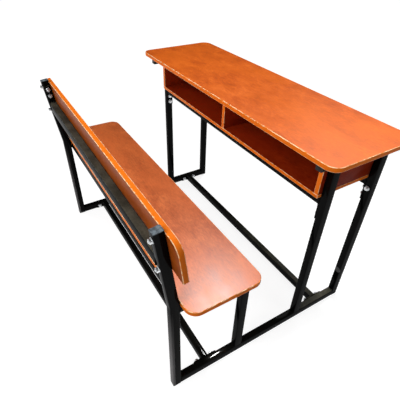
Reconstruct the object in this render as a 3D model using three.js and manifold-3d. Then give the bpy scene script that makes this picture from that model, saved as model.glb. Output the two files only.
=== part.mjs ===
// A two-seat school bench: a desk with an open book box and a seat with a backrest, carried by
// two welded end frames of rectangular steel tube that cross tubes with end plates bolt together.
// Millimetres. X runs along the bench, +Y from the backrest to the front of the desk, +Z is up.

import * as THREE from 'three';
import { mergeVertices } from 'three/addons/utils/BufferGeometryUtils.js';
import Module from 'manifold-3d';

// Overall sizes
const benchLength = 1200;
const boardOverhang = 55;
const deskHeight = 760;
const deskDepth = 360;
const seatHeight = 440;
const seatDepth = 255;

// Rectangular steel tube, its deep side in the plane of an end frame
const tubeWide = 25;
const tubeDeep = 30;
const tubeWall = 1.5;
const tubeCorner = 3;
const tubeCornerSteps = 2;

// Laminated boards and their glued edging
const boardThickness = 16;
const boxFloorThickness = 12;
const boardCorner = 37;
const boardCornerSteps = 8;
const backrestLowCorner = 5;
const edgingThickness = 2;

// Clearances between pieces that meet
const fit = 0.3;
const seatBehindClearance = 1.5;
const holeClearance = 0.5;
const cutOverrun = 1;
const weldOverlap = 0.3;

// Places of the end-frame members, measured along Y from the rear face of the uprights
const seatLegRear = 252;
const deskLegFrontRear = 760;
const deskLegSpacing = 220;

// How far the desktop reaches past the front legs, and the sitter's ends below it stand back
const deskFrontOverhang = 30;
const bearerSetback = 20;
const boxSetback = 44;

// Rear upright: straight to the bend, then leaning back
const bendHeight = 425;
const bendRadius = 90;
const bendSteps = 4;
const backLean = THREE.MathUtils.degToRad(6.8);
const uprightAboveBend = 294;

// Backrest and back rail, measured up the leaning part of the upright from the bend
const backrestBottom = 154;
const backrestHeight = 132;
const backrestBoltInset = 15;
const backRailMiddle = 183;
const backRailDeep = 28;
const backRailTall = 34;

// Room inside the book box
const boxHeight = 140;

// Cross tubes along the floor: the middle of each from the rear face of a leg or upright
const seatStretcherPlace = 139.5;
const deskStretcherPlace = 127.5;

// End plates welded on the cross tubes
const plateThickness = 3;
const plateMargin = 1;
const plateCorner = 2;
const plateCornerSteps = 2;
const railPlateLength = 87;
const backRailPlateLength = 108;
const stretcherPlateLength = 90;
const plateBoltInset = 15;
const railBoltSpacing = 28;

// Bolts with washer and nut; those of the backrest have a flat dome in front
const boltDiameter = 8;
const boltFacets = 12;
const boltBeyondWall = 9;
const washerDiameter = 17;
const washerThickness = 1.6;
const nutAcross = 13;
const nutSides = 6;
const nutHeight = 6.5;
const threadBeyondNut = 4;
const domeDiameter = 20;
const domeHeight = 3;
const domeSteps = 3;

// Push-in plastic end caps
const capThickness = 2.5;
const capPlugLength = 14;
const capWall = 1.6;

const blackPaint = new THREE.MeshStandardMaterial({ color: 0x1b1b1a, roughness: 0.38, metalness: 0.25 });
const laminate = new THREE.MeshStandardMaterial({ color: 0xc85a28, roughness: 0.4, metalness: 0 });
const edgingPlastic = new THREE.MeshStandardMaterial({ color: 0xe8802e, roughness: 0.45, metalness: 0 });
const capPlastic = new THREE.MeshStandardMaterial({ color: 0x5c6064, roughness: 0.55, metalness: 0 });
const zincSteel = new THREE.MeshStandardMaterial({ color: 0xd0d2d2, roughness: 0.35, metalness: 0.9 });

const halfFrame = benchLength / 2 - boardOverhang;
const frameInside = halfFrame - tubeWide;
const deskUnderside = deskHeight - boardThickness;
const seatUnderside = seatHeight - boardThickness;
const deskLegUserRear = deskLegFrontRear - deskLegSpacing;
const deskFrontEdge = deskLegFrontRear + tubeDeep + deskFrontOverhang;
const deskUserEdge = deskFrontEdge - deskDepth;
const bearerUserEnd = deskUserEdge + bearerSetback;
const boxUserEdge = bearerUserEnd + boxSetback;
const bench = new THREE.Group();

const wasm = await Module();
wasm.setup();

function solidFrom(geometry) {
  const bare = geometry.clone();
  bare.deleteAttribute('normal');
  bare.deleteAttribute('uv');
  const merged = mergeVertices(bare);
  return new wasm.Manifold(new wasm.Mesh({
    numProp: 3,
    vertProperties: merged.attributes.position.array,
    triVerts: Uint32Array.from(merged.index.array),
  }));
}

function geometryFrom(solid) {
  const mesh = solid.getMesh();
  const geometry = new THREE.BufferGeometry();
  geometry.setAttribute('position', new THREE.BufferAttribute(mesh.vertProperties, 3));
  geometry.setIndex(new THREE.BufferAttribute(mesh.triVerts, 1));
  return geometry;
}

function join(parts) {
  return geometryFrom(parts.map(solidFrom).reduce((whole, next) => whole.add(next)));
}

function cut(geometry, tools) {
  const whole = solidFrom(geometry);
  return geometryFrom(tools.map(solidFrom).reduce((left, tool) => left.subtract(tool), whole));
}

function add(parent, name, geometry, material) {
  const mesh = new THREE.Mesh(geometry, material);
  mesh.name = name;
  parent.add(mesh);
  return mesh;
}

// A closed outline of straight sides and round corners, anticlockwise from the low left corner
function roundedOutline(low, high, corners, steps) {
  const turns = [
    [low.x, low.y, 1, 1, Math.PI],
    [high.x, low.y, -1, 1, -Math.PI / 2],
    [high.x, high.y, -1, -1, 0],
    [low.x, high.y, 1, -1, Math.PI / 2],
  ];
  const points = [];
  turns.forEach(([x, y, inX, inY, start], corner) => {
    const radius = corners[corner];
    for (let step = 0; step <= steps; step += 1) {
      const angle = start + (step / steps) * (Math.PI / 2);
      points.push(new THREE.Vector2(
        x + inX * radius + radius * Math.cos(angle),
        y + inY * radius + radius * Math.sin(angle),
      ));
    }
  });
  return points;
}

function evenCorners(radius) {
  return [radius, radius, radius, radius];
}

// Extrudes an outline drawn in the other two axes from one value of an axis to another
function extrudeAlong(axis, shape, from, to) {
  const geometry = new THREE.ExtrudeGeometry(shape, { depth: to - from, bevelEnabled: false });
  geometry.translate(0, 0, from);
  const turn = new THREE.Matrix4();
  if (axis === 'x') turn.set(0, 0, 1, 0, 1, 0, 0, 0, 0, 1, 0, 0, 0, 0, 0, 1);
  if (axis === 'y') turn.set(0, 1, 0, 0, 0, 0, 1, 0, 1, 0, 0, 0, 0, 0, 0, 1);
  return geometry.applyMatrix4(turn);
}

// The two ranges across an axis, in the order that extrudeAlong draws them
function rangesAcross(axis, { x, y, z }) {
  return { x: [y, z], y: [z, x], z: [x, y] }[axis];
}

function tubeSection([across, up], wall = tubeWall) {
  const low = new THREE.Vector2(across[0], up[0]);
  const high = new THREE.Vector2(across[1], up[1]);
  const section = new THREE.Shape(roundedOutline(low, high, evenCorners(tubeCorner), tubeCornerSteps));
  const bore = roundedOutline(
    low.clone().addScalar(wall),
    high.clone().addScalar(-wall),
    evenCorners(tubeCorner - wall),
    tubeCornerSteps,
  );
  section.holes.push(new THREE.Path(bore));
  return section;
}

// A length of tube that fills a box given by its ranges, open at both ends
function tubeGeometry(axis, ranges) {
  return extrudeAlong(axis, tubeSection(rangesAcross(axis, ranges)), ...ranges[axis]);
}

function blockGeometry(axis, ranges, corners, steps) {
  const [across, up] = rangesAcross(axis, ranges);
  const low = new THREE.Vector2(across[0], up[0]);
  const high = new THREE.Vector2(across[1], up[1]);
  return extrudeAlong(axis, new THREE.Shape(roundedOutline(low, high, corners, steps)), ...ranges[axis]);
}

function boxGeometry({ x, y, z }) {
  const box = new THREE.BoxGeometry(x[1] - x[0], y[1] - y[0], z[1] - z[0]);
  return box.translate((x[0] + x[1]) / 2, (y[0] + y[1]) / 2, (z[0] + z[1]) / 2);
}

function rodGeometry(axis, middle, diameter, from, to, facets = boltFacets) {
  const outline = [];
  for (let facet = 0; facet < facets; facet += 1) {
    const angle = (facet / facets) * 2 * Math.PI;
    outline.push(new THREE.Vector2(
      middle[0] + (diameter / 2) * Math.cos(angle),
      middle[1] + (diameter / 2) * Math.sin(angle),
    ));
  }
  return extrudeAlong(axis, new THREE.Shape(outline), from, to);
}

function hexGeometry(axis, middle, acrossFlats, from, to) {
  return rodGeometry(axis, middle, acrossFlats / Math.cos(Math.PI / nutSides), from, to, nutSides);
}

function mirroredRange(side, range) {
  return side > 0 ? range : [-range[1], -range[0]];
}

// Stations up the middle of a rear upright: height, place in Y and lean
function uprightStations(top) {
  const tangent = bendRadius * Math.tan(backLean / 2);
  const stations = [{ y: tubeDeep / 2, z: 0, lean: 0 }];
  for (let step = 0; step <= bendSteps; step += 1) {
    const lean = (step / bendSteps) * backLean;
    stations.push({
      y: tubeDeep / 2 - bendRadius + bendRadius * Math.cos(lean),
      z: bendHeight - tangent + bendRadius * Math.sin(lean),
      lean,
    });
  }
  stations.push({
    y: tubeDeep / 2 - top * Math.sin(backLean),
    z: bendHeight + top * Math.cos(backLean),
    lean: backLean,
  });
  return stations;
}

// Carries a tube section, drawn about its middle, along the stations of a bent upright
function bentTube(section, stations) {
  const last = stations.length - 1;
  const geometry = new THREE.ExtrudeGeometry(section, { depth: last, steps: last, bevelEnabled: false });
  const position = geometry.attributes.position;
  for (let i = 0; i < position.count; i += 1) {
    const { y, z, lean } = stations[Math.round(position.getZ(i))];
    const forward = position.getY(i);
    position.setXYZ(i, position.getX(i), y + forward * Math.cos(lean), z + forward * Math.sin(lean));
  }
  return geometry;
}

// The group whose Z runs up the leaning part of the uprights, from the bend
const leaning = new THREE.Group();
leaning.position.set(0, tubeDeep / 2, bendHeight);
leaning.rotation.x = backLean;
bench.add(leaning);
leaning.updateMatrixWorld(true);

const backrestTop = backrestBottom + backrestHeight;
const backrestBoltHeights = [backrestBottom + backrestBoltInset, backrestTop - backrestBoltInset];
const uprightMiddle = halfFrame - tubeWide / 2;

// Each cross tube: its middle and size in Y and Z, the outline of its end plates and their bolts
const railTop = deskUnderside - boxHeight - boxFloorThickness - fit;
const seatBearerTop = seatUnderside - fit;

// Rail under the book box, its end plates hanging down the inner faces of two legs
function boxRail(legRear) {
  const plateEnd = railTop - railPlateLength;
  return {
    middle: [legRear + fit + plateMargin + tubeWide / 2, railTop - tubeDeep / 2],
    size: [tubeWide, tubeDeep],
    plate: { y: [legRear + fit, legRear + tubeDeep - fit], z: [plateEnd, railTop - plateMargin] },
    bolts: [0, 1].map((index) => [
      legRear + tubeDeep / 2,
      plateEnd + plateBoltInset + index * railBoltSpacing,
    ]),
  };
}

// Rail under the seat board, its end plates lying along the bearers away from one edge
function seatRail(edge, way) {
  const plateEnd = edge + way * railPlateLength;
  const plate = [edge + way * plateMargin, plateEnd].sort((a, b) => a - b);
  const z = [seatBearerTop - tubeDeep + plateMargin, seatBearerTop - plateMargin];
  return {
    middle: [edge + (way * tubeWide) / 2, seatBearerTop - tubeDeep / 2],
    size: [tubeWide, tubeDeep],
    plate: { y: plate, z },
    bolts: [0, 1].map((index) => [
      plateEnd - way * (plateBoltInset + index * railBoltSpacing),
      seatBearerTop - tubeDeep / 2,
    ]),
  };
}

// Tube along the floor between the runners, its end plates reaching out to both sides
function stretcher(middle) {
  const half = stretcherPlateLength / 2;
  return {
    middle: [middle, tubeDeep / 2],
    size: [tubeWide, tubeDeep],
    plate: { y: [middle - half, middle + half], z: [plateMargin, tubeDeep - plateMargin] },
    bolts: [-1, 1].map((way) => [middle + way * (half - plateBoltInset), tubeDeep / 2]),
  };
}

// Rail behind the backrest, square to the floor, its end plates rising along the leaning uprights
function backRail() {
  const reach = (backRailDeep * Math.cos(backLean) + backRailTall * Math.sin(backLean)) / 2;
  const bottom = backRailMiddle - backRailTall / 2;
  const plateEnd = bottom + backRailPlateLength;
  return {
    parent: leaning,
    turn: -backLean,
    middle: [tubeDeep / 2 - reach, backRailMiddle],
    size: [backRailDeep, backRailTall],
    plate: { y: [fit - tubeDeep / 2, tubeDeep / 2 - fit], z: [bottom, plateEnd] },
    bolts: [0, 1].map((index) => [0, plateEnd - plateBoltInset - index * railBoltSpacing]),
  };
}

const crossTubes = {
  back_rail: backRail(),
  seat_rail_rear: seatRail(tubeDeep + fit, 1),
  seat_rail_front: seatRail(seatLegRear - fit, -1),
  box_rail_user: boxRail(deskLegUserRear),
  box_rail_front: boxRail(deskLegFrontRear),
  seat_stretcher: stretcher(seatStretcherPlace),
  desk_stretcher: stretcher(deskLegUserRear + deskStretcherPlace),
};
const plateInner = frameInside - fit - plateThickness;

// A tube with a plate welded on each end; its clear bore stays open through the plates
function crossTubeGeometry({ middle, size, turn = 0, plate, bolts }) {
  const plateOuter = frameInside - fit;
  const halves = size.map((length) => length / 2);
  const placed = (geometry) => geometry.rotateX(turn).translate(0, ...middle);
  const around = (inset) => ({
    y: [inset - halves[0], halves[0] - inset],
    z: [inset - halves[1], halves[1] - inset],
  });
  const throughPlates = [-plateOuter - cutOverrun, plateOuter + cutOverrun];
  const tubeEnd = plateInner + weldOverlap;
  const parts = [placed(tubeGeometry('x', { x: [-tubeEnd, tubeEnd], ...around(0) }))];
  for (const side of [-1, 1]) {
    const x = mirroredRange(side, [plateInner, plateOuter]);
    parts.push(blockGeometry('x', { x, ...plate }, evenCorners(plateCorner), plateCornerSteps));
  }
  const bore = placed(blockGeometry(
    'x', { x: throughPlates, ...around(tubeWall) }, evenCorners(tubeCorner - tubeWall), tubeCornerSteps,
  ));
  const holes = bolts.map((bolt) => rodGeometry('x', bolt, boltDiameter + holeClearance, ...throughPlates));
  return cut(join(parts), [bore, ...holes]);
}

// Bolt from inside a frame tube, with its washer, nut and thread end on the end plate
function plateBoltGeometry(side, middle, seat = plateInner - fit) {
  const washerInner = seat - washerThickness;
  const nutInner = washerInner - nutHeight;
  const shank = [nutInner - threadBeyondNut, frameInside + tubeWall + boltBeyondWall];
  return join([
    rodGeometry('x', middle, boltDiameter, ...mirroredRange(side, shank)),
    rodGeometry('x', middle, washerDiameter, ...mirroredRange(side, [washerInner, seat])),
    hexGeometry('x', middle, nutAcross, ...mirroredRange(side, [nutInner, washerInner + weldOverlap])),
  ]);
}

// A hidden rail carries its bolts as one piece with it
function railWithBolts(crossTube) {
  const bolts = [-1, 1].flatMap((side) => (
    crossTube.bolts.map((middle) => plateBoltGeometry(side, middle, plateInner + weldOverlap))
  ));
  return join([crossTubeGeometry({ ...crossTube, bolts: [] }), ...bolts]);
}

function wallHole(side, middle) {
  const x = mirroredRange(side, [frameInside - cutOverrun, frameInside + tubeWall + cutOverrun]);
  return rodGeometry('x', middle, boltDiameter + holeClearance, ...x);
}

function drilled(geometry, side, crossTube) {
  return cut(geometry, crossTube.bolts.map((middle) => wallHole(side, middle)));
}

// One end frame: every tube butts against its neighbour and is welded round
function addEndFrame(side, prefix) {
  const x = mirroredRange(side, [frameInside, halfFrame]);
  const deskBearerTop = deskUnderside - fit;
  const deskBearerBottom = deskBearerTop - tubeDeep;
  const tubes = {
    runner: ['y', { y: [tubeDeep + fit, deskLegFrontRear - fit], z: [0, tubeDeep] }],
    seat_leg: ['z', { y: [seatLegRear, seatLegRear + tubeDeep], z: [tubeDeep + fit, seatBearerTop] }],
    seat_bearer: ['y', {
      y: [tubeDeep + fit, seatLegRear - fit],
      z: [seatBearerTop - tubeDeep, seatBearerTop],
    }],
    desk_leg_user: ['z', {
      y: [deskLegUserRear, deskLegUserRear + tubeDeep],
      z: [tubeDeep + fit, deskBearerBottom - fit],
    }],
    desk_leg_front: ['z', { y: [deskLegFrontRear, deskLegFrontRear + tubeDeep], z: [0, deskBearerTop] }],
    desk_bearer: ['y', {
      y: [bearerUserEnd + capThickness + fit, deskLegFrontRear - fit],
      z: [deskBearerBottom, deskBearerTop],
    }],
  };
  const drilledFor = {
    runner: ['seat_stretcher', 'desk_stretcher'],
    seat_bearer: ['seat_rail_rear', 'seat_rail_front'],
    desk_leg_user: ['box_rail_user'],
    desk_leg_front: ['box_rail_front'],
  };
  for (const [name, [axis, ranges]] of Object.entries(tubes)) {
    let geometry = tubeGeometry(axis, { x, ...ranges });
    for (const crossTube of drilledFor[name] ?? []) {
      geometry = drilled(geometry, side, crossTubes[crossTube]);
    }
    add(bench, `${prefix}_${name}`, geometry, blackPaint);
  }
  addUpright(side, prefix);
}

function addUpright(side, prefix) {
  const section = tubeSection([[-tubeWide / 2, tubeWide / 2], [-tubeDeep / 2, tubeDeep / 2]]);
  const upright = bentTube(section, uprightStations(uprightAboveBend));
  upright.translate(side * uprightMiddle, 0, 0);
  const holes = crossTubes.back_rail.bolts.map((middle) => wallHole(side, middle));
  for (const height of backrestBoltHeights) {
    holes.push(rodGeometry(
      'y', [height, side * uprightMiddle], boltDiameter + holeClearance,
      -tubeDeep / 2 - cutOverrun, tubeDeep / 2 + cutOverrun,
    ));
  }
  for (const hole of holes) hole.applyMatrix4(leaning.matrixWorld);
  add(bench, `${prefix}_rear_upright`, cut(upright, holes), blackPaint);
}

// A board whose outline is drawn across an axis, its core inside a glued band of edging
function addBandedBoard(parent, name, axis, ranges, corners, holes = []) {
  const [across, up] = rangesAcross(axis, ranges);
  const low = new THREE.Vector2(across[0], up[0]);
  const high = new THREE.Vector2(across[1], up[1]);
  const outlineInside = (inset) => roundedOutline(
    low.clone().addScalar(inset),
    high.clone().addScalar(-inset),
    corners.map((radius) => radius - inset),
    boardCornerSteps,
  );
  const core = extrudeAlong(axis, new THREE.Shape(outlineInside(edgingThickness + fit)), ...ranges[axis]);
  const band = new THREE.Shape(outlineInside(0));
  band.holes.push(new THREE.Path(outlineInside(edgingThickness)));
  add(parent, name, holes.length ? cut(core, holes) : core, laminate);
  add(parent, `${name}_edging`, extrudeAlong(axis, band, ...ranges[axis]), edgingPlastic);
}

// A box board whose edge towards the sitter carries a strip of edging
function addBoxBoard(name, { x, y, z }) {
  const coreRear = y[0] + edgingThickness + fit;
  add(bench, name, boxGeometry({ x, y: [coreRear, y[1]], z }), laminate);
  add(bench, `${name}_edging`, boxGeometry({ x, y: [y[0], y[0] + edgingThickness], z }), edgingPlastic);
}

function addBookBox() {
  const halfLength = frameInside - fit;
  const floorTop = deskUnderside - boxHeight;
  const walls = [floorTop + fit, deskUnderside - fit];
  const boxFrontEdge = deskLegFrontRear + tubeDeep;
  const backRear = boxFrontEdge - boardThickness;
  addBoxBoard('box_floor', {
    x: [-halfLength, halfLength],
    y: [boxUserEdge, boxFrontEdge],
    z: [floorTop - boxFloorThickness, floorTop],
  });
  for (const [side, prefix] of [[-1, 'left'], [1, 'right']]) {
    const x = mirroredRange(side, [halfLength - boardThickness, halfLength]);
    addBoxBoard(`${prefix}_box_side`, { x, y: [boxUserEdge, boxFrontEdge], z: walls });
  }
  addBoxBoard('box_divider', {
    x: [-boardThickness / 2, boardThickness / 2],
    y: [boxUserEdge, backRear - fit],
    z: walls,
  });
  const backHalf = halfLength - boardThickness - fit;
  const backAcross = [-backHalf, backHalf];
  add(bench, 'box_back', boxGeometry({ x: backAcross, y: [backRear, boxFrontEdge], z: walls }), laminate);
}

function addBackrest() {
  const rear = tubeDeep / 2 + fit;
  const front = rear + boardThickness;
  const holes = [];
  for (const side of [-1, 1]) {
    for (const height of backrestBoltHeights) {
      holes.push(rodGeometry(
        'y', [height, side * uprightMiddle], boltDiameter + holeClearance,
        rear - cutOverrun, front + cutOverrun,
      ));
    }
  }
  const corners = [backrestLowCorner, boardCorner, boardCorner, backrestLowCorner];
  const ranges = {
    x: [-benchLength / 2, benchLength / 2],
    y: [rear, front],
    z: [backrestBottom, backrestTop],
  };
  addBandedBoard(leaning, 'backrest_board', 'y', ranges, corners, holes);
}

// Through bolt of the backrest: dome on the board, washer, nut and thread end behind the upright
function backrestBoltGeometry(side, height) {
  const middle = [height, side * uprightMiddle];
  const boardFront = tubeDeep / 2 + fit + boardThickness + fit;
  const uprightRear = -tubeDeep / 2 - fit;
  const nutFront = uprightRear - washerThickness;
  const nutRear = nutFront - nutHeight;
  const profile = [new THREE.Vector2(0, 0)];
  for (let step = 0; step < domeSteps; step += 1) {
    const angle = (step / domeSteps) * (Math.PI / 2);
    profile.push(new THREE.Vector2((domeDiameter / 2) * Math.cos(angle), domeHeight * Math.sin(angle)));
  }
  profile.push(new THREE.Vector2(0, domeHeight));
  const dome = new THREE.LatheGeometry(profile, boltFacets);
  dome.translate(side * uprightMiddle, boardFront, height);
  return join([
    dome,
    rodGeometry('y', middle, boltDiameter, nutRear - threadBeyondNut, boardFront + weldOverlap),
    rodGeometry('y', middle, washerDiameter, nutFront, uprightRear),
    hexGeometry('y', middle, nutAcross, nutRear, nutFront + weldOverlap),
  ]);
}

// Cap for an open tube end that faces along an axis: a cover and a hollow plug inside the tube
function capGeometry(axis, way, ranges, tubeEnd) {
  const coverAlong = outward(way, tubeEnd + way * fit, tubeEnd + way * (fit + capThickness));
  const cover = { ...ranges, [axis]: coverAlong };
  const inset = tubeWall + fit;
  const plug = Object.fromEntries(
    Object.entries(ranges).map(([key, [low, high]]) => [key, [low + inset, high - inset]]),
  );
  const plugAlong = outward(way, tubeEnd - way * capPlugLength, tubeEnd + way * (fit + weldOverlap));
  const plugSection = rangesAcross(axis, { ...plug, [axis]: plugAlong });
  return join([
    blockGeometry(axis, cover, evenCorners(tubeCorner), tubeCornerSteps),
    extrudeAlong(axis, tubeSection(plugSection, capWall), ...plugAlong),
  ]);
}

function outward(way, inner, outer) {
  return way > 0 ? [inner, outer] : [outer, inner];
}

addEndFrame(-1, 'left');
addEndFrame(1, 'right');

for (const name of ['seat_rail_rear', 'seat_rail_front', 'box_rail_front']) {
  add(bench, name, railWithBolts(crossTubes[name]), blackPaint);
}

for (const name of ['back_rail', 'box_rail_user', 'seat_stretcher', 'desk_stretcher']) {
  const crossTube = crossTubes[name];
  const parent = crossTube.parent ?? bench;
  add(parent, name, crossTubeGeometry(crossTube), blackPaint);
  for (const [side, prefix] of [[-1, 'left'], [1, 'right']]) {
    crossTube.bolts.forEach((middle, index) => {
      add(parent, `${prefix}_${name}_bolt_${index + 1}`, plateBoltGeometry(side, middle), zincSteel);
    });
  }
}

const length = [-benchLength / 2, benchLength / 2];
addBandedBoard(bench, 'desktop', 'z', {
  x: length,
  y: [deskUserEdge, deskFrontEdge],
  z: [deskUnderside, deskHeight],
}, evenCorners(boardCorner));
addBandedBoard(bench, 'seat_board', 'z', {
  x: length,
  y: [tubeDeep + seatBehindClearance, tubeDeep + seatBehindClearance + seatDepth],
  z: [seatUnderside, seatHeight],
}, evenCorners(boardCorner));
addBackrest();
addBookBox();

for (const [side, prefix] of [[-1, 'left'], [1, 'right']]) {
  const x = mirroredRange(side, [frameInside, halfFrame]);
  add(leaning, `${prefix}_upright_cap`, capGeometry(
    'z', 1, { x, y: [-tubeDeep / 2, tubeDeep / 2] }, uprightAboveBend,
  ), capPlastic);
  const bearerHeights = [deskUnderside - fit - tubeDeep, deskUnderside - fit];
  add(bench, `${prefix}_bearer_cap`, capGeometry(
    'y', -1, { x, z: bearerHeights }, bearerUserEnd + capThickness + fit,
  ), capPlastic);
  backrestBoltHeights.forEach((height, index) => {
    add(leaning, `${prefix}_backrest_bolt_${index + 1}`, backrestBoltGeometry(side, height), zincSteel);
  });
}

// The origin is on the floor, under the middle of the bench
const extent = new THREE.Box3().setFromObject(bench, true);
bench.position.set(0, -(extent.min.y + extent.max.y) / 2, -extent.min.z);

export default bench;
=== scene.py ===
# A two-seat school bench with its desk built on. It is put together as the real one is: two end
# frames of painted tube, the cross tubes bolted between them, the laminated boards, the book box
# and the plastic caps, then the floor, the light and the camera.

import math

import bmesh
import bpy
from mathutils import Matrix, Vector


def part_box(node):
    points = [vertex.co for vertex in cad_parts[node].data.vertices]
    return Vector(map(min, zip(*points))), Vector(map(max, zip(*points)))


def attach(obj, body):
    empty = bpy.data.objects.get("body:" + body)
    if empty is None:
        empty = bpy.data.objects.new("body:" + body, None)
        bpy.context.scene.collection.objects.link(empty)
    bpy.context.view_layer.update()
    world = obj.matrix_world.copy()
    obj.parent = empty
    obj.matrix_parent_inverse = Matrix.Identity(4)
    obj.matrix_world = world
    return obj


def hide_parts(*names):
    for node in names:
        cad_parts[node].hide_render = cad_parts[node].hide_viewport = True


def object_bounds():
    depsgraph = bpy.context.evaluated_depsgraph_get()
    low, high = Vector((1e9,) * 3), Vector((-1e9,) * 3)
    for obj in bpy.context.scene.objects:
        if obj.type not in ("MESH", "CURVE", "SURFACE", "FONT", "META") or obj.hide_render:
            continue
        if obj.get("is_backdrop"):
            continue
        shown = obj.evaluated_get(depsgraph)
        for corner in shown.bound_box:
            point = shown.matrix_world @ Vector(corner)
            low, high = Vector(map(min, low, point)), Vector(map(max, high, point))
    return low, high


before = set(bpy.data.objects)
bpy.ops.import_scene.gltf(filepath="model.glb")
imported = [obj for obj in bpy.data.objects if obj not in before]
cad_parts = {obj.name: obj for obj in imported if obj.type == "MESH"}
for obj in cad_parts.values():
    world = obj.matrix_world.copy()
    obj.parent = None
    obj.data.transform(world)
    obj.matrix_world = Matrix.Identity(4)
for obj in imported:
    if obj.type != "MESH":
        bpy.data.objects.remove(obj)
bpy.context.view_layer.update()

# End frames: rectangular tube, 25 by 30 mm, cut square, butted and welded, then sprayed black.
# Each tube is drawn on its CAD box with the real wall and corner radius. The rear upright is
# one length of tube, straight up to the seat and bent back above it.
MM = 0.001
SIDES = {"left": -1, "right": 1}
FRAME_TUBES = {
    "runner": "y", "seat_leg": "z", "seat_bearer": "y",
    "desk_leg_user": "z", "desk_leg_front": "z", "desk_bearer": "y",
}
TUBE_WIDE = 25 * MM
TUBE_DEEP = 30 * MM
TUBE_WALL = 1.5 * MM
TUBE_CORNER = 3 * MM
CORNER_SEGMENTS = 4
# The gap that the CAD leaves where two parts meet
JOINT_GAP = 0.3 * MM
BEND_HEIGHT = 425 * MM
BEND_RADIUS = 90 * MM
BEND_STEPS = 8
BACK_LEAN = math.radians(6.8)
SMOOTH_ANGLE = math.radians(38)
# Dust and a painted sheen on up faces are kept off across the middle of the bench, and near the floor
# towards its left end
CLEAR_MIDDLE = -90 * MM
CLEAR_REACH = 260 * MM
CLEAR_FADE = 30 * MM
CLEAR_HEIGHT = 60 * MM
CLEAR_END = -150 * MM
DUST_AND_SHEEN_END = 250 * MM
# A painted reflection pales the rear of the uprights near the floor, fading from the low height to the
# high one
REFLECTION_BEHIND = -380 * MM
REFLECTION_LOW = 120 * MM
REFLECTION_HIGH = 410 * MM
# A paler grey blotch, drawn on the rear of the right front leg
BLOTCH_PLACE = (532 * MM, 372.4 * MM, 150 * MM)
BLOTCH_REACH = (15 * MM, 5 * MM, 13 * MM)


def srgb(code):
    channels = [int(code[i:i + 2], 16) / 255 for i in (1, 3, 5)]
    return [c / 12.92 if c <= 0.04045 else ((c + 0.055) / 1.055) ** 2.4 for c in channels] + [1.0]


def add_node(tree, kind, inputs=None, **settings):
    made = tree.nodes.new(kind)
    for name, value in settings.items():
        setattr(made, name, value)
    for name, value in (inputs or {}).items():
        if isinstance(value, bpy.types.NodeSocket):
            tree.links.new(value, made.inputs[name])
        else:
            made.inputs[name].default_value = value
    return made


def new_material(name, **sockets):
    material = bpy.data.materials.new(name)
    material.use_nodes = True
    shader = material.node_tree.nodes["Principled BSDF"]
    for socket, value in sockets.items():
        shader.inputs[socket.replace("_", " ")].default_value = value
    return material, material.node_tree, shader


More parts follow.
